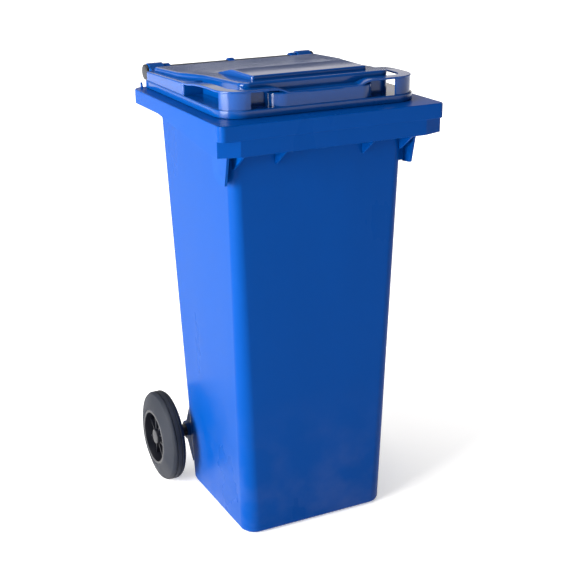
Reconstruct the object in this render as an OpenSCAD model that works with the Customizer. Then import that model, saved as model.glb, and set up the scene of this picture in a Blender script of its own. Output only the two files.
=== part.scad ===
// Two-wheeled refuse bin of 120 litres: a moulded tub with a lifting rim, a hinged
// lid with two corner grips, a push bar that is also the hinge rod, and two wheels.
// +Z is up, the front faces -Y, and the origin is on the ground at the middle of the
// bin's width and of its depth from the front lip to the back of the wheels.

/* [Tub] */
// Width across the rim
rim_w = 468; // [452:1:476]
// Depth from the front lip to the back of the wheels
depth = 510; // [505:1:530]
// Height of the flat top of the rim
rim_z = 878; // [850:1:900]
// Thickness of the moulded walls
wall = 4; // [3:0.5:5]
// Width of the tub at its base
base_w = 324; // [310:1:330]
// Width of the tub where it meets the rim
top_w = 376; // [366:1:384]
// Depth of the side skirt of the rim
skirt_h = 29; // [24:1:34]
// Depth of the front lifting band, from the rim's top to its lower edge
band_h = 59; // [52:1:64]

/* [Lid] */
// Width across the lid's flange
lid_w = 416; // [408:1:424]
// Height of the lid's flange
flange_h = 14.5; // [12:0.5:18]
// Wall thickness of the lid
lid_t = 3.5; // [3:0.5:4]
// Corner radius at the front of the lid
lid_r = 50; // [44:1:56]
// Width of the grip bars at the lid's corners
grip_w = 25; // [20:1:28]

/* [Push bar and hinge] */
// Diameter of the push bar, which the lid turns on
bar_d = 22; // [18:1:24]
// Length of the push bar
bar_l = 381; // [370:1:390]
// Diameter of the caps on the ends of the bar
cap_d = 32; // [28:1:36]

/* [Wheels] */
// Diameter of the tyres
wheel_d = 200; // [190:2:210]
// Width of a wheel
wheel_w = 50; // [46:1:54]
// Overall width across the two wheels
track_w = 476; // [470:1:482]
// Diameter of the steel axle
axle_d = 20; // [18:1:22]
// Travel of the latch pin that lets a wheel come off the axle
pin_travel = 3.2; // [3.1:0.1:3.4]

/* [Hidden] */
$fn = 64;

// Segments in each rounded corner of an outline
seg = 7;
// Height of a slice that a hull is drawn through
slice = 0.1;
// Running clearance between a shaft and its bore, on the radius
fit = 0.05;
// Clearance between bodies that don't touch
gap = 0.5;

// Tub
y_front = -depth / 2;
rim_x = rim_w / 2;
rim_y = y_front + 449;
front_base = y_front + 80;
front_top = y_front + 65;
back_base = y_front + 381;
back_top = y_front + 425;
base_r = 32;
top_r = 20;
foot = 8;
rim_r_front = 12;
rim_r_back = 25;
hand_x = 138;
hand_y = y_front + 433;
comb_cut_x = 40;
comb_cut_y = 13;
comb_step = 1.5;

// Lid
lid_x = lid_w / 2;
lid_front = y_front + 42;
lid_back = y_front + 450;
lid_hand_y = y_front + 436;
lid_z = rim_z + gap;
floor_z = lid_z + flange_h;
shelf_front = y_front + 238;
deck_front = y_front + 75;
deck_x = 157;
deck_back_x = 188;
deck_z = rim_z + 58;
deck_fall = 0.05;
nose_z = rim_z + 41;
grip_z = rim_z + 49;
step_in = 3;

// Hinge
hinge_y = y_front + 472;
hinge_z = rim_z + 25;
bar_r = bar_d / 2;
bracket_x = 140;
bracket_w = 14;
knuckle_x = 156;
knuckle_w = 34;
knuckle_r = bar_r + 7;

// Wheels
wheel_r = wheel_d / 2;
axle_r = axle_d / 2;
axle_y = -y_front - wheel_r;
axle_z = wheel_r;
wheel_mid = track_w / 2 - wheel_w / 2;
seat_x = 150;
seat_w = 10;
rim_ring_r = 61.5;
boss_r = axle_r + 10;
boss_out = 21.5;
boss_in = 27;
latch_x = wheel_mid - 14;
groove_r = axle_r - pin_travel + 0.2;
groove_w = 11;
pin_r = 4.95;
pin_l = 19.7;
tip_gap = 0.3;
pocket_end = 45;
spring_turns = 5;
wire_r = 0.7;
coil_r = 3.6;

// Points along an arc about (cx, cy) from angle a to angle b
function arc(cx, cy, r, a, b) =
    [for (i = [0 : seg]) [cx + r * cos(a + (b - a) * i / seg), cy + r * sin(a + (b - a) * i / seg)]];

// Rectangle in plan with one corner radius at the front and another at the back
function plan(hx, y0, y1, rf, rb) = concat(
    arc(-hx + rf, y0 + rf, rf, 180, 270), arc(hx - rf, y0 + rf, rf, 270, 360),
    arc(hx - rb, y1 - rb, rb, 0, 90), arc(-hx + rb, y1 - rb, rb, 90, 180));

// Value that runs evenly from the tub's base to its rim
function taper(base, top, z) = base + (top - base) * z / rim_z;

// Outline of the tub at a height, moved in by an amount
function tub_plan(z, inset) = plan(
    taper(base_w / 2, top_w / 2, z) - inset, taper(front_base, front_top, z) + inset,
    taper(back_base, back_top, z) - inset,
    taper(base_r, top_r, z) - inset, taper(base_r, top_r, z) - inset);

// Outline of the lid's flange, moved in by an amount
function lid_plan(inset) = plan(
    lid_x - inset, lid_front + inset, lid_back - inset, lid_r - inset, 20 - inset);

// Outline of the lid with the hand space at its back, moved in by an amount
module lid_outline(inset) {
    difference() {
        polygon(lid_plan(inset));
        translate([-hand_x - inset, lid_hand_y - inset]) square([2 * (hand_x + inset), 100]);
    }
}

// Height of the side shelves of the lid, which fall towards the hinge
function shelf_z(y) = rim_z + 46.5 - 0.036 * (y - lid_front);

// Height of the raised deck of the lid
function deck_top(y) = deck_z - deck_fall * (y - deck_front);

// Side outline of a plate that runs along X
module along_x(x0, x1) {
    translate([x0, 0, 0]) rotate([90, 0, 90]) linear_extrude(x1 - x0) children();
}

// Front outline of a plate that runs along Y
module along_y(y0, y1) {
    translate([0, y1, 0]) rotate([90, 0, 0]) linear_extrude(y1 - y0) children();
}

module both_sides() {
    children();
    mirror([1, 0, 0]) children();
}

module rod_x(x0, x1, y, z, r) {
    translate([x0, y, z]) rotate([0, 90, 0]) cylinder(h = x1 - x0, r = r);
}

// Slice of the tub's outline at a height
module tub_slice(z, inset) {
    translate([0, 0, z]) linear_extrude(slice) polygon(tub_plan(z, inset));
}

module tub_outside() {
    hull() {
        tub_slice(0, foot);
        tub_slice(foot, 0);
        tub_slice(rim_z - slice, 0);
    }
}

module tub_inside() {
    hull() {
        tub_slice(foot + wall, 2 * wall);
        tub_slice(foot + 3 * wall, wall);
        tub_slice(rim_z + 1, wall);
    }
}

// Outline of the rim with the hand space at its back, moved in by an amount
module rim_outline(inset) {
    difference() {
        polygon(plan(rim_x - inset, y_front + inset, rim_y - inset,
            rim_r_front - inset, rim_r_back - inset));
        translate([-hand_x - inset, hand_y - inset]) square([2 * (hand_x + inset), 100]);
    }
}

// Outline of the lifting band, whose front corners are cut off
module comb_outline(inset) {
    x = rim_x - inset;
    y = y_front + comb_step + inset;
    polygon([[-x, rim_y - 60], [-x, y + comb_cut_y], [comb_cut_x - x, y],
        [x - comb_cut_x, y], [x, y + comb_cut_y], [x, rim_y - 60]]);
}

module rim() {
    translate([0, 0, rim_z - wall]) linear_extrude(wall) rim_outline(0);
    translate([0, 0, rim_z - skirt_h]) linear_extrude(skirt_h) difference() {
        rim_outline(0);
        rim_outline(wall);
    }
    difference() {
        translate([0, 0, rim_z - band_h]) linear_extrude(band_h - skirt_h + 1) difference() {
            comb_outline(0);
            translate([0, 1]) comb_outline(wall);
        }
        along_x(-300, 300) polygon([[y_front + 60, rim_z - 150], [y_front + 60, rim_z - band_h],
            [y_front + 300, rim_z - skirt_h], [y_front + 500, rim_z - skirt_h],
            [y_front + 500, rim_z - 150]]);
    }
}

// Gussets under the lifting band, two on each side
module gussets() {
    for (x = [93, 178]) along_x(x - 2, x + 2) polygon([
        [front_top + 10, rim_z - 96], [front_top + 1, rim_z - 96],
        [y_front + 3, rim_z - 49], [y_front + 3, rim_z - 2], [front_top + 10, rim_z - 2]]);
}

// Fin beside the front corner of the tub, with the web that ties it to the wall
module corner_fin() {
    along_x(196, 201) polygon([[y_front + 48, rim_z - 2], [y_front + 48, rim_z - 70],
        [y_front + 61, rim_z - 124], [y_front + 87, rim_z - 127],
        [y_front + 115, rim_z - 110], [y_front + 115, rim_z - 2]]);
    translate([178, y_front + 84, rim_z - 124]) cube([22, 4, 122]);
}

// Small upright nib on the rim's back corner
module corner_nib() {
    along_x(213, 216) polygon([[rim_y - 14, rim_z - 1], [rim_y - 9, rim_z + 10],
        [rim_y - 5, rim_z + 10], [rim_y - 4, rim_z - 1]]);
}

// Bracket that carries the push bar behind the rim
module bar_bracket(x0, x1) {
    rod_x(x0, x1, hinge_y, hinge_z, bar_r + 4);
    along_x(x0, x1) polygon([
        [back_top - 8, rim_z - 24], [hinge_y - 20, rim_z - 20], [hinge_y - 17, rim_z - 6],
        [hinge_y - 12, rim_z + 2], [hinge_y - 5, rim_z + 14], [hinge_y - 10, rim_z + 26],
        [hinge_y - 19, rim_z + 8], [hinge_y - 20.5, rim_z - 0.5], [back_top - 8, rim_z - 0.5]]);
}

// Seat that holds the axle behind the tub's back wall
module axle_seat(x0) {
    rod_x(x0, x0 + seat_w, axle_y, axle_z, axle_r + 11);
    along_x(x0, x0 + seat_w) polygon([[back_base - 10, 40], [axle_y - 8, axle_z - 18],
        [axle_y - 2, axle_z + 19], [back_base - 4, axle_z + 84]]);
}

module bin_body() {
    color("royalblue") difference() {
        union() {
            tub_outside();
            rim();
            both_sides() {
                gussets();
                corner_fin();
                corner_nib();
                bar_bracket(bracket_x, bracket_x + bracket_w);
                axle_seat(seat_x);
                axle_seat(40);
            }
            bar_bracket(-bracket_w / 2, bracket_w / 2);
        }
        tub_inside();
        translate([0, 0, -1]) linear_extrude(foot + 1) polygon(tub_plan(0, foot + 12));
        rod_x(-170, 170, axle_y, axle_z, axle_r + fit);
        rod_x(-170, 170, hinge_y, hinge_z, bar_r + fit);
    }
}

// Solid between a plan outline and a side outline
module carve(side) {
    intersection() {
        translate([0, 0, lid_z - 20]) linear_extrude(120) children();
        along_x(-250, 250) polygon(side);
    }
}

// Plan of the deck, which widens behind the grips, moved in by an amount
module deck_plan(inset) {
    x = deck_x - inset;
    xb = deck_back_x - inset;
    y_hand = lid_hand_y - step_in - inset;
    difference() {
        polygon(concat(
            arc(20 - x, deck_front + inset + 20, 20, 180, 270),
            arc(x - 20, deck_front + inset + 20, 20, 270, 360),
            [[deck_x + 3 - inset, y_front + 208], [xb, y_front + 345],
            [xb, lid_back - 8 - inset], [-xb, lid_back - 8 - inset],
            [-xb, y_front + 345], [inset - deck_x - 3, y_front + 208]]));
        translate([-hand_x - step_in - inset, y_hand]) square([2 * (hand_x + step_in + inset), 100]);
    }
}

// Plan of the nose at the middle of the lid's front, moved in by an amount
module nose_plan(inset) {
    x = 112 - inset;
    y = lid_front + step_in + inset;
    polygon(concat([[-x, deck_front + 20]], arc(34 - x, y + 34, 34, 180, 270),
        arc(x - 34, y + 34, 34, 270, 360), [[x, deck_front + 20]]));
}

// Outer form of the lid, or the hollow under it when t is the wall thickness
module lid_form(t) {
    low = t > 0 ? lid_z - 15 : lid_z;
    back = lid_back - step_in - t;
    translate([0, 0, low]) linear_extrude(floor_z - t - low) lid_outline(t);
    carve([[shelf_front + t, low], [shelf_front + t, shelf_z(shelf_front) - t],
        [back, shelf_z(back) - t], [back, low]]) lid_outline(step_in + t);
    carve([[deck_front + t, low], [deck_front + t, deck_top(deck_front) - t],
        [back, deck_top(back) - t], [back, low]]) deck_plan(t);
    translate([0, 0, low]) linear_extrude(nose_z - t - low) nose_plan(t);
    carve([[y_front + 105 + t, low], [y_front + 105 + t, deck_z + 6.5 - t],
        [y_front + 190, deck_z + 6.5 - t], [y_front + 262, deck_top(y_front + 262) - t],
        [y_front + 262, low]]) translate([t - 122, y_front]) square([2 * (122 - t), 300]);
}

// Plan of the band that the grip bars follow, between two insets
module grip_band(outer, inner) {
    difference() {
        polygon(lid_plan(outer));
        polygon(lid_plan(inner));
    }
}

// Grip bar round the right front corner, with the post that holds it up
module grip() {
    turn_y = lid_front + lid_r - 12;
    intersection() {
        translate([100, turn_y, floor_z]) cube([150, shelf_front + 6 - turn_y, 60]);
        carve([[shelf_front + 6, shelf_z(shelf_front) - 4.5], [shelf_front + 6, shelf_z(shelf_front) - 0.5],
            [shelf_front - 60, grip_z - 2], [lid_front + 60, grip_z], [turn_y - 1, grip_z],
            [turn_y - 1, grip_z - 4], [lid_front + 60, grip_z - 4], [shelf_front - 60, grip_z - 6]])
            grip_band(step_in, step_in + grip_w);
    }
    intersection() {
        translate([0, 0, floor_z]) linear_extrude(60) grip_band(step_in, step_in + grip_w);
        along_y(lid_front, turn_y + 1) polygon([[30, nose_z - 3], [50, nose_z - 2], [66, nose_z + 2],
            [88, grip_z - 4], [lid_x, grip_z - 4], [lid_x, grip_z], [88, grip_z],
            [66, nose_z + 6], [50, nose_z + 2], [30, nose_z + 0.5]]);
    }
    translate([0, 0, floor_z - 2]) linear_extrude(grip_z - floor_z) intersection() {
        grip_band(step_in + 1, step_in + 6);
        polygon([[lid_x - 50, lid_front + 50], [lid_x - 59, lid_front - 10],
            [lid_x + 10, lid_front - 10], [lid_x + 10, lid_front + 29]]);
    }
}

// Arm and ring that turn on the push bar
module knuckle() {
    rod_x(knuckle_x, knuckle_x + knuckle_w, hinge_y, hinge_z, knuckle_r);
    along_x(knuckle_x, knuckle_x + knuckle_w) polygon([
        [lid_back - 8, rim_z + 12], [hinge_y - 9, hinge_z - 13], [hinge_y + 4, hinge_z + 12],
        [hinge_y - 11, hinge_z + 13], [lid_back - 8, shelf_z(lid_back) - 1]]);
}

module lid() {
    color("royalblue") difference() {
        union() {
            lid_form(0);
            both_sides() knuckle();
            both_sides() grip();
        }
        lid_form(lid_t);
        rod_x(-200, 200, hinge_y, hinge_z, bar_r + fit);
    }
}

module push_bar() {
    color("dimgray") difference() {
        rod_x(-bar_l / 2, bar_l / 2, hinge_y, hinge_z, bar_r);
        rod_x(-bar_l / 2 - 1, bar_l / 2 + 1, hinge_y, hinge_z, bar_r - 3);
    }
}

// Cap with a plug that fills the end of the push bar
module bar_cap() {
    color("dimgray") {
        translate([bar_l / 2 + 0.1, hinge_y, hinge_z]) rotate([0, 90, 0]) rotate_extrude()
            polygon([[0, 0], [cap_d / 2, 0], [cap_d / 2, 3.5], [cap_d / 2 - 2, 5.5], [0, 6.5]]);
        rod_x(bar_l / 2 - 18, bar_l / 2 + 1, hinge_y, hinge_z, bar_r - 3 - fit);
    }
}

module bar_cap_right() bar_cap();

module bar_cap_left() mirror([1, 0, 0]) bar_cap();

module axle() {
    color("silver") difference() {
        rod_x(-wheel_mid - 15, wheel_mid + 15, axle_y, axle_z, axle_r);
        both_sides() difference() {
            rod_x(latch_x - groove_w / 2, latch_x + groove_w / 2, axle_y, axle_z, axle_r + 1);
            rod_x(latch_x - groove_w / 2 - 1, latch_x + groove_w / 2 + 1, axle_y, axle_z, groove_r);
        }
    }
}

// Sleeve that keeps a wheel clear of the tub
module spacer() {
    x0 = seat_x + seat_w + gap;
    x1 = wheel_mid - boss_in - gap;
    color("dimgray") difference() {
        rod_x(x0, x1, axle_y, axle_z, axle_r + 4);
        rod_x(x0 - 1, x1 + 1, axle_y, axle_z, axle_r + fit);
    }
}

module spacer_right() spacer();

module spacer_left() mirror([1, 0, 0]) spacer();

// Wheel centre: ring, web, ribs, and a boss closed at its outer end
module wheel() {
    color("dimgray") difference() {
        union() {
            translate([wheel_mid, axle_y, axle_z]) rotate([0, 90, 0]) rotate_extrude() polygon([
                [0, boss_out], [0, -boss_in], [boss_r, -boss_in], [boss_r - 1, -5],
                [57, -5], [56, -wheel_w / 2 + 0.5], [rim_ring_r, -wheel_w / 2 + 0.5],
                [rim_ring_r, wheel_w / 2 - 0.5], [55, wheel_w / 2 - 0.5], [54, 1],
                [boss_r - 2, 1], [boss_r - 6, boss_out]]);
            for (i = [0 : 7]) translate([wheel_mid, axle_y, axle_z]) rotate([22.5 + 45 * i, 0, 0])
                translate([0, -1.75, 12]) cube([16, 3.5, 44]);
            translate([latch_x, axle_y, axle_z + 12]) cylinder(h = 47, r = 8.5);
        }
        rod_x(wheel_mid - boss_in - 1, wheel_mid + 17, axle_y, axle_z, axle_r + fit);
        translate([latch_x, axle_y, axle_z + 3]) cylinder(h = pocket_end - 3, r = pin_r + fit);
    }
}

module wheel_right() wheel();

module wheel_left() mirror([1, 0, 0]) wheel();

module tyre() {
    half = wheel_w / 2;
    color("black") translate([wheel_mid, axle_y, axle_z]) rotate([0, 90, 0]) rotate_extrude() polygon([
        [rim_ring_r + fit, -half + 0.5], [rim_ring_r + 5, -half], [wheel_r - 4, -half + 10.5],
        [wheel_r, -half + 16], [wheel_r, half - 16], [wheel_r - 4, half - 10.5],
        [rim_ring_r + 5, half], [rim_ring_r + fit, half - 0.5]]);
}

module tyre_right() tyre();

module tyre_left() mirror([1, 0, 0]) tyre();

module latch_pin() {
    color("silver") translate([latch_x, axle_y, axle_z + groove_r + tip_gap])
        cylinder(h = pin_l, r = pin_r);
}

module latch_pin_right() latch_pin();

module latch_pin_left() mirror([1, 0, 0]) latch_pin();

// Coil spring behind the latch pin
module latch_spring() {
    steps = 12 * spring_turns;
    low = groove_r + tip_gap + pin_l + 0.1 + wire_r;
    high = pocket_end - wire_r - 0.1;
    sides = 6;
    points = [for (i = [0 : steps], k = [0 : sides - 1])
        let (a = 360 * spring_turns * i / steps, b = 360 * k / sides,
            r = coil_r + wire_r * cos(b), h = low + (high - low) * i / steps + wire_r * sin(b))
        [r * cos(a), r * sin(a), h]];
    walls = [for (i = [0 : steps - 1], k = [0 : sides - 1])
        let (n = (k + 1) % sides)
        [i * sides + k, (i + 1) * sides + k, (i + 1) * sides + n, i * sides + n]];
    ends = [[for (k = [0 : sides - 1]) k], [for (k = [0 : sides - 1]) (steps + 1) * sides - 1 - k]];
    color("silver") translate([latch_x, axle_y, axle_z]) polyhedron(points, concat(walls, ends));
}

module latch_spring_right() latch_spring();

module latch_spring_left() mirror([1, 0, 0]) latch_spring();

bin_body();
lid();
push_bar();
bar_cap_left();
bar_cap_right();
axle();
spacer_left();
spacer_right();
wheel_left();
wheel_right();
tyre_left();
tyre_right();
latch_pin_left();
latch_pin_right();
latch_spring_left();
latch_spring_right();
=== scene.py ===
"""Looks of a two-wheeled refuse bin: tub, lid, push bar, wheels and their finishes.
Sizes are in millimetres in the tables and calls, and metres in the meshes."""
from math import cos, pi, radians, sin

import bmesh
import bpy
from mathutils import Euler, Matrix, Vector


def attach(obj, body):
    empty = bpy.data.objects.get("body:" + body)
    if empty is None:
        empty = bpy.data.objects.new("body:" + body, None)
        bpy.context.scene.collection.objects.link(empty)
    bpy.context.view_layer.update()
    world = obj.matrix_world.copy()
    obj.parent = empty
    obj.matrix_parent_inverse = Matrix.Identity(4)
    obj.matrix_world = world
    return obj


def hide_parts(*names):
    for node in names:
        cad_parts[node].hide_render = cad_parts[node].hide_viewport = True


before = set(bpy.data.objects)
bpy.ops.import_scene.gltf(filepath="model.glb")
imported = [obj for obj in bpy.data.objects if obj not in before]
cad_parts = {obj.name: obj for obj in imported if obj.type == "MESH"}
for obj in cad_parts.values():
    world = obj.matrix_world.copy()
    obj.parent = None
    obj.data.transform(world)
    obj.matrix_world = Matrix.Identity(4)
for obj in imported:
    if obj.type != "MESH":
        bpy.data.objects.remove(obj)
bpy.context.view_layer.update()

MM = 0.001
CLOSE = 0.02 * MM       # points nearer than this are one point
LOOSE = 0.05            # play of a shaft in its hole, on the radius
SIDES = ("right", "left")

# Tub and rim
FRONT = -255            # front face of the rim
RIM_TOP = 878
RIM_HALF = 234
RIM_BACK = 194
SKIRT = 29              # depth of the rim's turned-down skirt
BAND = 59               # depth of the rim with the lifting band below its skirt
BAND_SET = 1.5          # how far the band stands behind the skirt
BAND_CUT = (40, 13)     # width and depth of the band's cut front corners
WALL = 4
FOOT = 8                # height of the hollow under the floor
RING_STEP = 60          # height between two outlines of the wall
GUSSETS = (93, 178)     # gussets' places across the bin
HAND_HALF = 140         # hand space between the rim and the push bar
HAND_FRONT = 174
HAND_BACK = 230

# Lid
LID_HALF = 208
LID_FRONT = -213
LID_BACK = 195
LID_LOW = 878.5
LID_FLOOR = 893         # top of the flange
LID_WALL = 3.5
LID_CORNER = 50
SHELF_FRONT = -17
DECK_FRONT = -180
DECK_BACK = 184
DECK_HALF = 157         # half-width between the grips
DECK_WIDE = 188         # half-width behind them
FLARE_FRONT = -47       # where the deck starts to widen
FLARE = 137             # and how long it takes
STEP = 3                # ledge between the flange's edge and what stands on it
PANEL_HALF = 122
PANEL_FRONT = -150
PANEL_BREAK = -65       # where the panel starts to slope down
PANEL_BACK = 7          # where it meets the deck
PANEL_SUNK = 3          # how much farther it runs, inside the deck
PANEL_TOP = 942.5
NOSE_HALF = 112
NOSE_BACK = -160
NOSE_TOP = 919
GRIP_TOP = 927
GRIP_WIDE = 25
GRIP_BACK = -11         # where the grip leaves the shelf

# Hinge and push bar
HINGE_Y = 217
HINGE_Z = 903
BAR_R = 11
BAR_END = 190.5
CAP_R = 16
KNUCKLE = (156, 34)     # place and width of the lid's knuckle on the bar
BRACKET_HALF = 7        # half-width of the tub's bar brackets
BRACKET_X = 147

# Wheels
AXLE_Y = 155
AXLE_Z = 100
AXLE_R = 10
SEATS = (150, 40)       # axle seats' places across the bin
SEAT_WIDE = 10
WHEEL_X = 213
WHEEL_HALF = 25
WHEEL_R = 100
RING_R = 61.5           # where the tyre sits on the wheel
BOSS_R = 20
RIBS = 8
RIB_HALF = 1.75


# Modelling helpers: each leaves its piece in edit mode or takes it there

def at(x, y, z):
    """A point from millimetres."""
    return Vector((x, y, z)) * MM


def edit(piece):
    """Only this piece is picked, and it is open for editing."""
    if bpy.context.object and bpy.context.object.mode == "EDIT":
        bpy.ops.object.mode_set(mode="OBJECT")
    bpy.ops.object.select_all(action="DESELECT")
    bpy.context.view_layer.objects.active = piece
    piece.select_set(True)
    bpy.ops.object.mode_set(mode="EDIT")


def leave():
    """Back to object mode with nothing picked."""
    if bpy.context.object and bpy.context.object.mode == "EDIT":
        bpy.ops.object.mode_set(mode="OBJECT")
    bpy.ops.object.select_all(action="DESELECT")


def pick(kind, test):
    """Picks the vertices, edges or faces that pass a test."""
    piece = bpy.context.object
    bpy.ops.mesh.select_mode(type=kind)
    bpy.ops.mesh.select_all(action="DESELECT")
    mesh = bmesh.from_edit_mesh(piece.data)
    for part in {"VERT": mesh.verts, "EDGE": mesh.edges, "FACE": mesh.faces}[kind]:
        if test(part):
            part.select = True
    mesh.select_flush_mode()
    bmesh.update_edit_mesh(piece.data)


def middle(part):
    """Middle of an edge or face, in millimetres."""
    return sum((v.co for v in part.verts), Vector()) / len(part.verts) / MM


def upright(edge):
    """True for an edge that stands nearly straight up."""
    a, b = edge.verts
    return abs(a.co.z - b.co.z) > 0.8 * edge.calc_length()


def round_edges(radius, test, steps=3):
    """Rounds the edges that pass a test."""
    pick("EDGE", test)
    bpy.ops.mesh.bevel(offset=radius * MM, segments=steps, affect="EDGES", clamp_overlap=True)


def put_in_order(piece):
    """Sorts a piece by distance from a place off to one side. A cut can leave its parts in any
    order, and joining them would then give a slightly different mesh each time."""
    edit(piece)
    bpy.context.scene.cursor.location = (-1.0, -1.7, 0.3)
    bpy.ops.mesh.select_all(action="SELECT")
    bpy.ops.mesh.sort_elements(type="CURSOR_DISTANCE", elements={"VERT", "EDGE", "FACE"})


def at_height(z):
    """Test for what lies wholly at a height."""
    return lambda part: all(abs(v.co.z / MM - z) < 0.05 for v in part.verts)


def block(name, low, high):
    """Block between two corners."""
    leave()
    low, high = at(*low), at(*high)
    bpy.ops.mesh.primitive_cube_add(size=1, location=(low + high) / 2, scale=high - low)
    piece = bpy.context.object
    piece.name = name
    bpy.ops.object.transform_apply(location=True, rotation=True, scale=True)
    edit(piece)
    return piece


def drawn(name, points, depth=None):
    """Outline drawn from point to point; with a depth it is filled and drawn out."""
    leave()
    points = [at(*p) for p in points]
    bpy.ops.mesh.primitive_plane_add(size=2 * MM, location=points[0])
    piece = bpy.context.object
    piece.name = name
    bpy.ops.object.transform_apply(location=True, rotation=True, scale=True)
    edit(piece)
    bpy.ops.mesh.select_mode(type="VERT")
    bpy.ops.mesh.select_all(action="SELECT")
    bpy.ops.mesh.merge(type="CENTER")
    for a, b in zip(points, points[1:]):
        bpy.ops.mesh.extrude_region_move(TRANSFORM_OT_translate={"value": b - a})
    bpy.ops.mesh.select_all(action="SELECT")
    bpy.ops.mesh.edge_face_add()
    if depth:
        bpy.ops.mesh.extrude_region_move(TRANSFORM_OT_translate={"value": at(*depth)})
        bpy.ops.mesh.select_all(action="SELECT")
        bpy.ops.mesh.normals_make_consistent(inside=False)
    return piece


def plate_x(name, x0, x1, outline):
    """Plate between two places across the bin, drawn from the side."""
    return drawn(name, [(x0, y, z) for y, z in outline], (x1 - x0, 0, 0))


def plate_z(name, z0, z1, outline):
    """Plate between two heights, drawn from above."""
    return drawn(name, [(x, y, z0) for x, y in outline], (0, 0, z1 - z0))


def arc(cx, cy, r, start, end, steps=8):
    """Points along part of a circle, its ends in degrees."""
    turns = [radians(start + (end - start) * i / steps) for i in range(steps + 1)]
    return [(cx + r * cos(a), cy + r * sin(a)) for a in turns]


def plan(half, front, back, r_front, r_back):
    """Outline from above of a box with rounded corners."""
    return (arc(-half + r_front, front + r_front, r_front, 180, 270)
            + arc(half - r_front, front + r_front, r_front, 270, 360)
            + arc(half - r_back, back - r_back, r_back, 0, 90)
            + arc(-half + r_back, back - r_back, r_back, 90, 180))


def turned(name, centre, profile, steps=64):
    """Piece turned about a line across the bin; the profile is (place along it, radius)."""
    x, y, z = centre
    piece = drawn(name, [(x + a, y, z + r) for a, r in profile])
    bpy.ops.mesh.delete(type="ONLY_FACE")
    bpy.ops.mesh.select_all(action="SELECT")
    bpy.ops.mesh.spin(steps=steps, angle=2 * pi, center=at(*centre), axis=(1, 0, 0))
    bpy.ops.mesh.select_all(action="SELECT")
    bpy.ops.mesh.remove_doubles(threshold=CLOSE)
    bpy.ops.mesh.delete_loose(use_verts=True, use_edges=True)
    bpy.ops.mesh.select_all(action="SELECT")
    bpy.ops.mesh.normals_make_consistent(inside=False)
    return piece


def combine(piece, operation, *others):
    """Adds, cuts or keeps what others share with a piece, and takes the others away."""
    for other in others:
        put_in_order(other)
        put_in_order(piece)
        leave()
        change = piece.modifiers.new("combine", "BOOLEAN")
        change.operation, change.solver, change.object = operation, "EXACT", other
        bpy.context.view_layer.objects.active = piece
        bpy.ops.object.modifier_apply(modifier=change.name)
        bpy.data.objects.remove(other)
    edit(piece)
    return piece


def copied(piece):
    """Copy of a piece with its own mesh."""
    leave()
    twin = piece.copy()
    twin.data = piece.data.copy()
    bpy.context.scene.collection.objects.link(twin)
    return twin


def mirrored(piece):
    """Copy of a piece on the other side of the bin."""
    twin = copied(piece)
    twin.scale.x = -1
    bpy.context.view_layer.objects.active = twin
    twin.select_set(True)
    bpy.ops.object.transform_apply(location=False, rotation=False, scale=True)
    edit(twin)
    bpy.ops.mesh.select_all(action="SELECT")
    bpy.ops.mesh.normals_make_consistent(inside=False)
    return twin


def finish_piece(piece, name, body, finish, node, smooth=35):
    """Smooths, names and paints a piece, and hangs it on its body in its node's place."""
    edit(piece)
    bpy.ops.mesh.select_all(action="SELECT")
    bpy.ops.mesh.remove_doubles(threshold=CLOSE)
    leave()
    bpy.context.view_layer.objects.active = piece
    piece.select_set(True)
    bpy.ops.object.shade_smooth_by_angle(angle=radians(smooth), keep_sharp_edges=True)
    even = piece.modifiers.new("even shading", "WEIGHTED_NORMAL")
    even.keep_sharp = True
    bpy.ops.object.modifier_apply(modifier=even.name)
    piece.select_set(False)
    piece.name = piece.data.name = name
    piece.data.materials.clear()
    piece.data.materials.append(finish)
    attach(piece, body)
    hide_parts(node)


# Tub

def wall_at(z):
    """Half-width, front, back and corner radius of the tub's wall at a height."""
    t = z / RIM_TOP
    return 162 + 26 * t, -175 - 15 * t, 126 + 44 * t, 32 - 12 * t


def wall_ring(z, inset=0):
    """Outline of the wall at a height, moved in."""
    half, front, back, r = wall_at(z)
    return [(x, y, z) for x, y in
            plan(half - inset, front + inset, back - inset, r - inset, r - inset)]


def rim_ring(z, inset=0):
    """Outline of the rim at a height, moved in."""
    return [(x, y, z) for x, y in
            plan(RIM_HALF - inset, FRONT + inset, RIM_BACK - inset, 12 - inset, 25 - inset)]


def skin(name, rings):
    """Closed surface drawn out from one outline to the next, each with as many points."""
    piece = drawn(name, rings[0])
    for here, there in zip(rings, rings[1:]):
        bpy.ops.mesh.extrude_region_move()
        mesh = bmesh.from_edit_mesh(piece.data)
        for vert in [v for v in mesh.verts if v.select]:
            spot = vert.co / MM
            nearest = min(range(len(here)), key=lambda n: (Vector(here[n]) - spot).length)
            vert.co = at(*there[nearest])
        bmesh.update_edit_mesh(piece.data)
    bpy.ops.mesh.select_all(action="SELECT")
    bpy.ops.mesh.normals_make_consistent(inside=False)
    return piece


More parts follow.
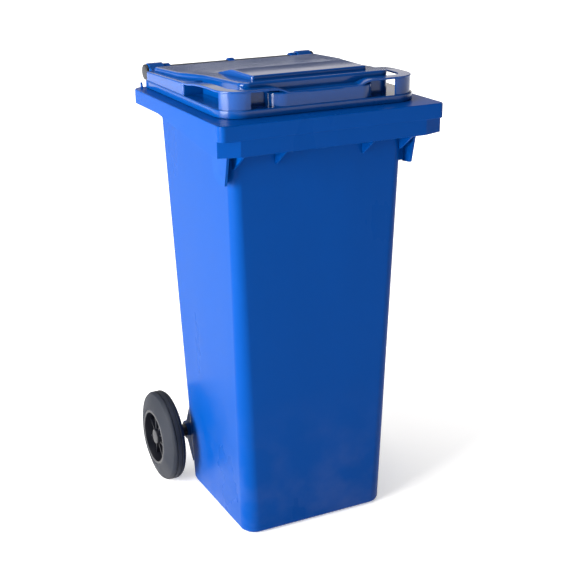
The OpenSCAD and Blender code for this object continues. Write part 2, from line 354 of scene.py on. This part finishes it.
def tub_shell():
    """Foot, walls, turned-out rim with its skirt, and the inside down to the floor."""
    low = RIM_TOP - SKIRT
    under = RIM_TOP - WALL
    rings = [wall_ring(FOOT, 22), wall_ring(0, 20), wall_ring(0, 10), wall_ring(1.5, 6)]
    rings += [wall_ring(4.5, 2), wall_ring(9, 0)]
    heights = range(RING_STEP, RIM_TOP - RING_STEP // 2, RING_STEP)
    rings += [wall_ring(z) for z in heights]
    rings += [wall_ring(under - 6), wall_ring(under - 2, -2), wall_ring(under, -6)]
    rings += [rim_ring(under, WALL), rim_ring(low + 1, WALL), rim_ring(low, WALL - 1)]
    rings += [rim_ring(low, 0.8), rim_ring(low + 0.8, 0), rim_ring(RIM_TOP - 2.5, 0)]
    rings += [rim_ring(RIM_TOP - 0.7, 0.7), rim_ring(RIM_TOP, 2.5)]
    rings += [wall_ring(RIM_TOP, 1), wall_ring(RIM_TOP - 1, WALL - 0.8)]
    rings += [wall_ring(RIM_TOP - 4, WALL)]
    rings += [wall_ring(z, WALL) for z in reversed(heights)]
    rings += [wall_ring(FOOT + 3 * WALL, WALL), wall_ring(FOOT + WALL + 2, WALL + 3)]
    rings += [wall_ring(FOOT + WALL, WALL + 9)]
    return skin("tub", rings)


def lifting_band():
    """Band under the skirt that a lifting comb hooks behind, cut to a slope at the sides."""
    low, high = RIM_TOP - BAND, RIM_TOP - SKIRT
    x, y = RIM_HALF, FRONT + BAND_SET
    wide, deep = BAND_CUT
    band = plate_z("band", low, high + 1, [
        (-x, 134), (-x, y + deep), (wide - x, y), (x - wide, y), (x, y + deep), (x, 134)])
    inner = plate_z("inner", low - 5, high + 5, [
        (-230, 140), (-230, -234.5), (-190.5, -247.5), (190.5, -247.5), (230, -234.5), (230, 140)])
    combine(band, "DIFFERENCE", inner)
    bpy.ops.mesh.select_all(action="SELECT")
    slope = (high - low) / 240
    bpy.ops.mesh.bisect(plane_co=at(0, -195, low), plane_no=(0, -slope, 1),
                        use_fill=True, clear_inner=True)
    return band


def side_plates():
    """Gussets, corner fin with its web, and nib on one side of the rim."""
    front = wall_at(RIM_TOP)[1]
    plates = [plate_x("gusset", x - 2, x + 2, [
        (front + 10, 782), (front + 1, 782), (FRONT + 3, 829), (FRONT + 3, 876), (front + 10, 876)])
        for x in GUSSETS]
    plates.append(plate_x("fin", 196, 201, [
        (-207, 876), (-207, 808), (-194, 754), (-168, 751), (-140, 768), (-140, 876)]))
    plates.append(block("web", (178, -171, 754), (198, -167, 876)))
    plates.append(plate_x("nib", 213, 216, [(180, 876), (185, 888), (189, 888), (190, 876)]))
    return plates


def bar_bracket(middle_x):
    """Arm and ring that hold the push bar."""
    x0, x1 = middle_x - BRACKET_HALF, middle_x + BRACKET_HALF
    wide = x1 - x0
    ring = turned("ring", (x0, HINGE_Y, HINGE_Z), [
        (0, 0), (0, 13.5), (1.5, 15), (wide - 1.5, 15), (wide, 13.5), (wide, 0)], 32)
    arm = plate_x("arm", x0 + 0.2, x1 - 0.2, [
        (162, 854), (197, 858), (200, 872), (205, 880), (212, 892), (207, 904), (198, 886),
        (196.5, 877.5), (162, 877.5)])
    return [ring, arm]


def axle_seat(x0):
    """Seat behind the tub that the axle turns in."""
    ring = turned("seat", (x0, AXLE_Y, AXLE_Z), [
        (0, 0), (0, 20), (1, 21), (SEAT_WIDE - 1, 21), (SEAT_WIDE, 20), (SEAT_WIDE, 0)], 32)
    arm = plate_x("arm", x0 + 0.2, x0 + SEAT_WIDE - 0.2, [
        (116, 40), (147, 82), (153, 119), (122, 184)])
    return [ring, arm]


def shaft_hole(x0, x1, y, z, r):
    """Cutter for a shaft of a radius, with its play."""
    r += LOOSE
    return turned("hole", (x0, y, z), [(0, 0), (0, r), (x1 - x0, r), (x1 - x0, 0)], 48)


def tub():
    """The whole tub, its shaft holes cut and the lifting band's cut corners left crisp."""
    piece = tub_shell()
    band = lifting_band()
    round_edges(0.8, lambda e: e.calc_face_angle(0) > 0.5, 2)
    parts = [band]
    right = side_plates() + bar_bracket(BRACKET_X)
    for place in SEATS:
        right += axle_seat(place)
    parts += right + [mirrored(part) for part in right]
    parts += bar_bracket(0)
    combine(piece, "UNION", *parts)
    combine(piece, "DIFFERENCE",
            block("hand space", (2 - HAND_HALF, HAND_FRONT + WALL, 840),
                  (HAND_HALF - 2, HAND_BACK, 900)))
    low, high = RIM_TOP - SKIRT, RIM_TOP
    hand = block("hand wall", (-HAND_HALF - 2, HAND_FRONT, low),
                 (HAND_HALF + 2, HAND_FRONT + WALL, high))
    cheeks = [block("cheek", (x - 2, HAND_FRONT, low), (x + 2, 192, high))
              for x in (-HAND_HALF, HAND_HALF)]
    combine(piece, "UNION", hand, *cheeks)
    combine(piece, "DIFFERENCE", shaft_hole(-170, 170, AXLE_Y, AXLE_Z, AXLE_R),
            shaft_hole(-170, 170, HINGE_Y, HINGE_Z, BAR_R))
    pick("EDGE", lambda e: upright(e) and RIM_TOP - BAND < middle(e).z < low + 1
         and middle(e).y < -238)
    bpy.ops.mesh.mark_sharp()
    return piece


# Lid

def shelf_z(y):
    """Top of the shelf, which falls towards the hinge."""
    return RIM_TOP + 46.5 - 0.036 * (y - LID_FRONT)


def deck_z(y):
    """Top of the deck, which falls a little faster."""
    return RIM_TOP + 58 - 0.05 * (y - DECK_FRONT)


def sloped_top(name, outline, low, top, edge):
    """Plate drawn from above whose top follows a slope, its top edges rounded."""
    piece = plate_z(name, low, top(0), outline)
    mesh = bmesh.from_edit_mesh(piece.data)
    for vert in mesh.verts:
        if vert.co.z > (low + 1) * MM:
            vert.co.z = top(vert.co.y / MM) * MM
    bmesh.update_edit_mesh(piece.data)
    if edge:
        round_edges(edge, lambda e: all(
            abs(v.co.z / MM - top(v.co.y / MM)) < 0.1 for v in e.verts), 4)
    return piece


def deck_outline(t):
    """The deck from above, wider behind the grips, moved in by a thickness."""
    x, wide, front, back = DECK_HALF - t, DECK_WIDE - t, DECK_FRONT + t, DECK_BACK - t
    flare = [(x + 3 + (wide - x - 3) * (3 * u * u - 2 * u ** 3), FLARE_FRONT + FLARE * u)
             for u in (0, 0.2, 0.4, 0.6, 0.8)]
    return (arc(20 - x, front + 20, 20, 180, 270) + arc(x - 20, front + 20, 20, 270, 360)
            + flare + arc(wide - 8, back - 8, 8, 0, 90) + arc(8 - wide, back - 8, 8, 90, 180)
            + [(-x, y) for x, y in reversed(flare)])


def nose_outline(t):
    """The nose from above, moved in by a thickness."""
    x, front = NOSE_HALF - t, LID_FRONT + STEP + t
    return ([(-x, NOSE_BACK)] + arc(34 - x, front + 34, 34, 180, 270)
            + arc(x - 34, front + 34, 34, 270, 360) + [(x, NOSE_BACK)])


def lid_form(t):
    """Outer form of the lid, or its hollow when t is the wall's thickness."""
    outer = not t
    low = LID_LOW - (0 if outer else 15)
    edge = STEP + t
    flange = plate_z("lid", low, LID_FLOOR - t, plan(
        LID_HALF - t, LID_FRONT + t, LID_BACK - t, LID_CORNER - t, 20 - t))
    if outer:
        round_edges(2.2, at_height(LID_FLOOR), 3)
        round_edges(1, at_height(LID_LOW), 2)
    shelf = sloped_top("shelf", plan(
        LID_HALF - edge, SHELF_FRONT + t, LID_BACK - edge, 4, 17), low,
        lambda y: shelf_z(y) - t, 3 * outer)
    deck = sloped_top("deck", deck_outline(t), low, lambda y: deck_z(y) - t, 5 * outer)
    nose = plate_z("nose", low, NOSE_TOP - t, nose_outline(t))
    if outer:
        round_edges(4, at_height(NOSE_TOP), 4)
    fall = (PANEL_TOP - deck_z(PANEL_BACK)) / (PANEL_BACK - PANEL_BREAK)
    panel_end = deck_z(PANEL_BACK) - PANEL_SUNK * fall
    panel = plate_x("panel", t - PANEL_HALF, PANEL_HALF - t, [
        (PANEL_FRONT + t, low), (PANEL_FRONT + t, PANEL_TOP - t), (PANEL_BREAK, PANEL_TOP - t),
        (PANEL_BACK + PANEL_SUNK, panel_end - t), (PANEL_BACK + PANEL_SUNK, low)])
    if outer:
        round_edges(6, lambda e: upright(e) and middle(e).y < PANEL_FRONT + 10, 5)
        round_edges(3.5, lambda e: middle(e).z > 935 and e.calc_face_angle(0) > 0.5
                    and middle(e).y < 6, 3)
    return combine(flange, "UNION", shelf, deck, nose, panel)


def grip():
    """Bar round the right front corner, dropping in a double curve to the nose."""
    x0, x1 = LID_HALF - STEP - GRIP_WIDE, LID_HALF - STEP
    cx, cy = LID_HALF - LID_CORNER, LID_FRONT + LID_CORNER
    start = shelf_z(SHELF_FRONT) - 0.5
    bar = drawn("grip", [(x, GRIP_BACK, z) for x, z in (
        (x0, start - 4), (x0, start), (x1, start), (x1, start - 4))])
    rise = GRIP_TOP - start
    for step, lift in ((-26, 0.16), (-30, 0.42), (-36, 0.3), (-30, 0.12), (-30, 0)):
        bpy.ops.mesh.extrude_region_move(
            TRANSFORM_OT_translate={"value": at(0, step, lift * rise)})
    bpy.ops.mesh.spin(steps=10, angle=pi / 2, center=at(cx, cy, 0), axis=(0, 0, 1))
    for step, lift in ((-40, 0), (-16, 0), (-8, -0.8), (-8, -2.4), (-8, -3.0), (-8, -2.0),
                       (-8, -0.8), (-26, -0.2)):
        bpy.ops.mesh.extrude_region_move(TRANSFORM_OT_translate={"value": at(step, 0, lift)})
    bpy.ops.mesh.select_all(action="SELECT")
    bpy.ops.mesh.remove_doubles(threshold=CLOSE)
    bpy.ops.mesh.normals_make_consistent(inside=False)
    round_edges(1.4, lambda e: e.calc_face_angle(0) > 1 and middle(e).y < GRIP_BACK - 1
                and middle(e).x > 31, 3)
    return bar


def grip_post():
    """Curved wall that holds the grip up at the lid's corner."""
    cx, cy = LID_HALF - LID_CORNER, LID_FRONT + LID_CORNER
    outline = arc(cx, cy, 46, 262, 341, 10) + arc(cx, cy, 41, 341, 262, 10)
    return plate_z("post", LID_FLOOR - 2, GRIP_TOP - 2, outline)


def knuckle():
    """Arm and ring that turn on the push bar."""
    place, wide = KNUCKLE
    ring = turned("ring", (place, HINGE_Y, HINGE_Z), [
        (0, 0), (0, 16.5), (1.5, 18), (wide - 1.5, 18), (wide, 16.5), (wide, 0)])
    arm = plate_x("arm", place + 0.3, place + wide - 0.3, [
        (187, 890), (HINGE_Y - 9, HINGE_Z - 13), (HINGE_Y + 4, HINGE_Z + 12),
        (HINGE_Y - 11, HINGE_Z + 13), (187, shelf_z(LID_BACK) - 1)])
    return [ring, arm]


def hand_cut(low, high, half, front):
    """Cutter for the notch in the lid's back edge over the hand space."""
    return plate_z("hand space", low, high, [
        (-half, front), (half, front), (half, HAND_BACK), (-half, HAND_BACK)])


def lid():
    """The whole lid: its form less its hollow, with both grips and both knuckles."""
    piece = lid_form(0)
    half, front = HAND_HALF + 1, HAND_FRONT + WALL
    combine(piece, "DIFFERENCE", hand_cut(860, 960, half, front))
    hollow = lid_form(LID_WALL)
    combine(hollow, "DIFFERENCE", hand_cut(850, 970, half + LID_WALL, front - LID_WALL))
    combine(piece, "DIFFERENCE", hollow)
    right = [grip(), grip_post()] + knuckle()
    combine(piece, "UNION", *right, *[mirrored(part) for part in right])
    combine(piece, "DIFFERENCE", shaft_hole(-200, 200, HINGE_Y, HINGE_Z, BAR_R))
    return piece


# Wheels

def wheel():
    """Right wheel's centre: ring, web, ribs, boss and latch tower."""
    centre = (WHEEL_X, AXLE_Y, AXLE_Z)
    piece = turned("wheel", centre, [
        (21.5, 0), (21.5, 14), (20.8, 15.8), (19, 16.6), (2.5, 18.2), (1, 20), (1, 52.5), (2.5, 54),
        (23, 55), (24.5, 56), (24.5, RING_R - 0.6), (23.9, RING_R), (-23.9, RING_R),
        (-24.5, RING_R - 0.6), (-24.5, 56.8), (-23.5, 56), (-6.5, 57), (-5, 55.5), (-5, 20.5),
        (-6.5, 19), (-26, BOSS_R), (-27, BOSS_R - 1), (-27, 0)])
    rib = block("rib", (WHEEL_X, AXLE_Y - RIB_HALF, AXLE_Z + 12),
                (WHEEL_X + 16, AXLE_Y + RIB_HALF, AXLE_Z + 56))
    pick("VERT", lambda v: v.co.x / MM > WHEEL_X + 15 and v.co.z / MM > AXLE_Z + 50)
    bpy.ops.transform.translate(value=at(-4, 0, 0))
    round_edges(1, lambda e: middle(e).x > WHEEL_X + 9
                and abs(e.verts[0].co.y - e.verts[1].co.y) < CLOSE, 2)
    hub = Matrix.Translation(at(0, AXLE_Y, AXLE_Z))
    ribs = [copied(rib) for _ in range(RIBS)]
    for turn, each in enumerate(ribs):
        angle = radians(360 / RIBS * (turn + 0.5))
        each.data.transform(hub @ Matrix.Rotation(angle, 4, "X") @ hub.inverted())
    bpy.data.objects.remove(rib)
    leave()
    bpy.ops.mesh.primitive_cylinder_add(vertices=32, radius=8.5 * MM, depth=47 * MM,
                                        location=at(199, AXLE_Y, AXLE_Z + 35.5))
    tower = bpy.context.object
    bpy.ops.object.transform_apply(location=True, rotation=True, scale=True)
    combine(piece, "UNION", *ribs, tower)
    combine(piece, "DIFFERENCE", shaft_hole(185, 230, AXLE_Y, AXLE_Z, AXLE_R))
    return piece


def tyre():
    """Solid tyre with sloping sides, crisp shoulders and shallow grooves round its tread."""
    half = WHEEL_HALF
    side = [(-half + 0.8, RING_R + 0.1), (-half + 0.2, RING_R + 1), (-half, RING_R + 2.5),
            (-half, 66), (-half + 0.6, 67.6), (-half + 9.9, 94.8), (-half + 10.6, 96.2),
            (-half + 11.8, 97.2), (-half + 15, 99.5), (-half + 17, WHEEL_R)]
    groove = [(-6.5, WHEEL_R), (-6, WHEEL_R - 1.6), (-4.4, WHEEL_R - 1.6), (-3.9, WHEEL_R)]
    left = side + groove
    profile = left + [(-a, r) for a, r in reversed(left)]
    return turned("tyre", (WHEEL_X, AXLE_Y, AXLE_Z), profile, 96)


def bar_cap():
    """Right cap, pushed into the end of the bar."""
    return turned("cap", (BAR_END + 0.1, HINGE_Y, HINGE_Z), [
        (-18, 0), (-18, 7.9), (0, 7.9), (0, 15), (0.8, CAP_R), (3.2, CAP_R), (4.8, 15.4),
        (5.8, 13.6), (6.1, 11), (6.5, 0)])


# Finishes

def add(tree, kind, inputs=None, **settings):
    """A node with its settings; each input is a value or another node's output."""
    made = tree.nodes.new("ShaderNode" + kind)
    for key, value in settings.items():
        setattr(made, key, value)
    for key, value in (inputs or {}).items():
        if isinstance(value, bpy.types.NodeSocket):
            tree.links.new(value, made.inputs[key])
        else:
            made.inputs[key].default_value = value
    return made


def mix(tree, factor, first, second):
    """Blend of two colours."""
    return add(tree, "MixRGB", {"Fac": factor, "Color1": first, "Color2": second}).outputs["Color"]


def spread(tree, value, low, high, to_low=0.0, to_high=1.0):
    """Value stretched from one range to another, held at its ends."""
    return add(tree, "MapRange", {"Value": value, "From Min": low, "From Max": high,
                                  "To Min": to_low, "To Max": to_high}).outputs["Result"]


def sums(tree, operation, first, second):
    """Result of a sum on two values."""
    return add(tree, "Math", {0: first, 1: second}, operation=operation).outputs["Value"]


def new_group(name, inputs, outputs):
    """Empty node group with its sockets, and where its inputs and outputs are reached."""
    tree = bpy.data.node_groups.new(name, "ShaderNodeTree")
    for label, kind, value in inputs:
        socket = tree.interface.new_socket(label, in_out="INPUT", socket_type="NodeSocket" + kind)
        socket.default_value = value
    for label, kind in outputs:
        tree.interface.new_socket(label, in_out="OUTPUT", socket_type="NodeSocket" + kind)
    given = tree.nodes.new("NodeGroupInput").outputs
    return tree, given, tree.nodes.new("NodeGroupOutput").inputs


def moulded_group():
    """Moulded surface: faint flow mottling, edges lightened partly by scuffing and partly as a
    painted highlight, dust low down, and a fine grain.
    """
    tree, given, out = new_group("moulded surface", [
        ("Color", "Color", (0.5, 0.5, 0.5, 1)), ("Worn Color", "Color", (0.8, 0.8, 0.8, 1)),
        ("Dust Color", "Color", (0.45, 0.4, 0.34, 1)), ("Mottling", "Float", 0.06),
        ("Wear And Sheen", "Float", 0.3), ("Dust", "Float", 0.2), ("Roughness", "Float", 0.35)], [
        ("Color", "Color"), ("Roughness", "Float"), ("Height", "Float")])
    place = add(tree, "TexCoord").outputs["Object"]
    flow = add(tree, "Mapping", {"Vector": place, "Scale": (5, 5, 1.6)}).outputs["Vector"]
    patches = add(tree, "TexNoise", {"Vector": flow, "Scale": 1.6, "Detail": 4.0}).outputs["Fac"]
    shade = add(tree, "HueSaturation", {
        "Value": sums(tree, "ADD", 1.0, sums(tree, "MULTIPLY", given["Mottling"],
                                             spread(tree, patches, 0.1, 0.9, -1.6, 1.6))),
        "Color": given["Color"]}).outputs["Color"]
    # Painted highlight with scuffing: convex edges are lightened towards a paler colour, partly as
    # rubbing and partly as the shine light puts on rounded edges.
    edges = spread(tree, add(tree, "NewGeometry").outputs["Pointiness"], 0.55, 0.68)
    scuffs = add(tree, "TexNoise", {"Vector": place, "Scale": 38.0, "Detail": 5.0}).outputs["Fac"]
    worn_and_sheen = sums(tree, "MULTIPLY", given["Wear And Sheen"],
                sums(tree, "MULTIPLY", edges, spread(tree, scuffs, 0.35, 0.65)))
    shade = mix(tree, worn_and_sheen, shade, given["Worn Color"])
    height = add(tree, "SeparateXYZ", {"Vector": place}).outputs["Z"]
    splash = add(tree, "TexNoise", {"Vector": place, "Scale": 14.0, "Detail": 6.0}).outputs["Fac"]
    dusty = sums(tree, "MULTIPLY", given["Dust"], sums(
        tree, "MULTIPLY", spread(tree, height, 0.3, 0.0), spread(tree, splash, 0.42, 0.8)))
    shade = mix(tree, dusty, shade, given["Dust Color"])
    grain = add(tree, "TexNoise", {"Vector": place, "Scale": 900.0, "Detail": 2.0}).outputs["Fac"]
    rough = sums(tree, "ADD", given["Roughness"], sums(
        tree, "ADD", spread(tree, patches, 0.1, 0.9, -0.08, 0.08),
        sums(tree, "MULTIPLY", dusty, 0.5)))
    waves = add(tree, "TexNoise", {"Vector": flow, "Scale": 2.2, "Detail": 2.0}).outputs["Fac"]
    tree.links.new(shade, out["Color"])
    tree.links.new(rough, out["Roughness"])
    tree.links.new(sums(tree, "ADD", sums(tree, "MULTIPLY", grain, 0.12),
                        sums(tree, "MULTIPLY", waves, 1.5)), out["Height"])
    return tree


def new_finish(name):
    """New material, its node tree and its shader."""
    finish = bpy.data.materials.new(name)
    finish.use_nodes = True
    return finish, finish.node_tree, finish.node_tree.nodes["Principled BSDF"]


def moulded_finish(name, group, values, bump, **constants):
    """Moulded plastic or rubber with its own colours and its own amounts of edge lightening, part
    scuffing and part painted highlight.
    """
    finish, tree, shader = new_finish(name)
    surface = tree.nodes.new("ShaderNodeGroup")
    surface.node_tree = group
    for key, value in values.items():
        surface.inputs[key].default_value = value
    tree.links.new(surface.outputs["Color"], shader.inputs["Base Color"])
    tree.links.new(surface.outputs["Roughness"], shader.inputs["Roughness"])
    relief = add(tree, "Bump", {"Height": surface.outputs["Height"], "Strength": bump,
                                "Distance": 0.0004})
    tree.links.new(relief.outputs["Normal"], shader.inputs["Normal"])
    for key, value in constants.items():
        shader.inputs[key.replace("_", " ")].default_value = value
    return finish


def steel_finish(name, colour, roughness, scale):
    """Drawn or plated steel, with fine lines along the bar."""
    finish, tree, shader = new_finish(name)
    place = add(tree, "TexCoord").outputs["Object"]
    along = add(tree, "Mapping", {"Vector": place, "Scale": scale}).outputs["Vector"]
    lines = add(tree, "TexNoise", {"Vector": along, "Scale": 60.0, "Detail": 4.0}).outputs["Fac"]
    spots = add(tree, "TexNoise", {"Vector": place, "Scale": 55.0, "Detail": 5.0}).outputs["Fac"]
    dull = tuple(0.62 * c for c in colour[:3]) + (1,)
    tree.links.new(mix(tree, spread(tree, spots, 0.35, 0.7, 0.0, 0.6), colour, dull),
                   shader.inputs["Base Color"])
    tree.links.new(spread(tree, lines, 0.3, 0.7, roughness - 0.08, roughness + 0.12),
                   shader.inputs["Roughness"])
    relief = add(tree, "Bump", {"Height": lines, "Strength": 0.15, "Distance": 0.0002})
    tree.links.new(relief.outputs["Normal"], shader.inputs["Normal"])
    shader.inputs["Metallic"].default_value = 1.0
    return finish


# Setting

def floor():
    """Wide pale floor that stays white into the distance."""
    leave()
    bpy.ops.mesh.primitive_plane_add(size=300, location=(0, 0, 0))
    ground = bpy.context.object
    ground.name = "floor"
    finish, tree, shader = new_finish("pale floor")
    shader.inputs["Base Color"].default_value = (0.86, 0.86, 0.86, 1)
    shader.inputs["Roughness"].default_value = 0.9
    shader.inputs["Emission Color"].default_value = (1, 1, 1, 1)
    place = add(tree, "TexCoord").outputs["Object"]
    away = add(tree, "VectorMath", {0: place}, operation="LENGTH").outputs["Value"]
    tree.links.new(spread(tree, away, 0.6, 5.0, 0.4, 0.9), shader.inputs["Emission Strength"])
    ground.data.materials.append(finish)


def soft_light(name, place, target, size, power, colour):
    """Large square lamp turned towards a point."""
    lamp = bpy.data.lights.new(name, "AREA")
    lamp.shape, lamp.size, lamp.size_y = "RECTANGLE", size[0], size[1]
    lamp.energy, lamp.color = power, colour
    holder = bpy.data.objects.new(name, lamp)
    bpy.context.scene.collection.objects.link(holder)
    holder.location = place
    holder.rotation_euler = (Vector(target) - Vector(place)).to_track_quat("-Z", "Y").to_euler()


def studio():
    """Pale room with a lamp on the left, a weak one behind, and soft light from above."""
    world = bpy.data.worlds.new("studio")
    bpy.context.scene.world = world
    bpy.context.scene.view_settings.view_transform = "Standard"
    world.use_nodes = True
    sky = world.node_tree.nodes["Background"]
    sky.inputs["Color"].default_value = (1.0, 0.97, 0.93, 1)
    seen = add(world.node_tree, "LightPath").outputs["Is Camera Ray"]
    world.node_tree.links.new(spread(world.node_tree, seen, 0.0, 1.0, 0.16, 1.0),
                              sky.inputs["Strength"])
    soft_light("left light", (-4.0, -0.6, 1.3), (0, 0, 0.5), (2.6, 2.2), 480, (1, 0.98, 0.95))
    soft_light("back light", (1.5, 5.0, 2.6), (0, 0, 0.7), (6.0, 2.4), 42, (1, 0.93, 0.84))
    top = bpy.data.lights.new("top light", "SUN")
    top.energy, top.angle, top.color = 1.9, radians(50), (1, 0.99, 0.98)
    holder = bpy.data.objects.new("top light", top)
    bpy.context.scene.collection.objects.link(holder)
    holder.rotation_euler = (radians(-8), radians(-8), 0)


def camera():
    """Eye above and left of the front corner, looking down at the bin."""
    eye = bpy.data.cameras.new("camera")
    eye.lens, eye.sensor_width, eye.clip_end = 75.29, 36, 200
    holder = bpy.data.objects.new("camera", eye)
    bpy.context.scene.collection.objects.link(holder)
    holder.location = (-1.0467, -2.1297, 1.3081)
    down, aside, tilt = radians(19.46), radians(26.55), radians(0.5)
    facing = Euler((pi / 2 - down, 0, -aside)).to_matrix()
    holder.rotation_euler = (facing @ Matrix.Rotation(-tilt, 3, "Z")).to_euler()
    bpy.context.scene.camera = holder


def finishes():
    """Every material by the name of what it is for."""
    group = moulded_group()
    dust = (0.5, 0.47, 0.42, 1)
    # Paler blue for the edges of the blue parts, standing for scuffing and for a painted highlight.
    blue_edge = (0.01, 0.1, 0.38, 1)
    moulded = {  # name, colour, edge colour (scuffing and painted highlight), mottling, edge amount (scuffing and painted highlight), dust, roughness, relief, IOR
        "tub": ("tub plastic", (0.0, 0.045, 0.235, 1), blue_edge, 0.03, 0.3, 0.05, 0.3, 0.15, 1.12),
        "lid": ("lid plastic", (0.0, 0.047, 0.225, 1), blue_edge, 0.03, 0.35, 0.05, 0.14, 0.15, 1.4),
        "bar": ("bar plastic", (0.012, 0.014, 0.019, 1), (0.05, 0.05, 0.055, 1),
                0.15, 0.6, 0.1, 0.4, 0.5, 1.4),
        "wheel": ("wheel plastic", (0.004, 0.005, 0.009, 1), (0.03, 0.032, 0.04, 1),
                  0.15, 0.6, 0.02, 0.34, 0.4, 1.4),
        "tyre": ("tyre rubber", (0.0075, 0.0105, 0.018, 1), (0.03, 0.033, 0.04, 1),
                 0.2, 0.7, 0.05, 0.62, 0.8, 1.3),
    }
    paint = {}
    for key, (name, colour, worn_and_sheen, mottling, wear_and_sheen, dusty, rough, relief, ior) in moulded.items():
        paint[key] = moulded_finish(name, group, {
            "Color": colour, "Worn Color": worn_and_sheen, "Dust Color": dust, "Mottling": mottling,
            "Wear And Sheen": wear_and_sheen, "Dust": dusty, "Roughness": rough}, relief, IOR=ior)
    paint["axle"] = steel_finish("zinc-plated steel", (0.62, 0.63, 0.65, 1), 0.3, (1, 14, 14))
    paint["spring"] = steel_finish("spring steel", (0.45, 0.45, 0.47, 1), 0.26, (14, 14, 1))
    return paint


def build():
    """Makes every new piece, and paints the nodes that keep their own shape."""
    paint = finishes()
    finish_piece(tub(), "tub", "bin", paint["tub"], "bin_body")
    finish_piece(lid(), "bin_lid", "lid", paint["lid"], "lid")
    pairs = (  # maker, piece, body, slot, finish, node
        (wheel, "wheel_centre_", "wheel_{}", "wheel_plastic", "wheel", "wheel_"),
        (tyre, "tyre_ring_", "wheel_{}", "tyre_rubber", "tyre", "tyre_"),
        (bar_cap, "end_cap_", "bin", "bar_plastic", "bar", "bar_cap_"))
    for make, name, body, slot, finish, node in pairs:
        right = make()
        for piece, side in zip((right, mirrored(right)), SIDES):
            finish_piece(piece, name + side, body.format(side), paint[finish], node + side)
    kept = {"push_bar": "bar", "axle": "axle"}
    for side in SIDES:
        kept.update({f"spacer_{side}": "wheel", f"latch_pin_{side}": "axle",
                     f"latch_spring_{side}": "spring"})
    for node, finish in kept.items():
        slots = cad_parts[node].data.materials
        slots.clear()
        slots.append(paint[finish])


build()
floor()
studio()
camera()
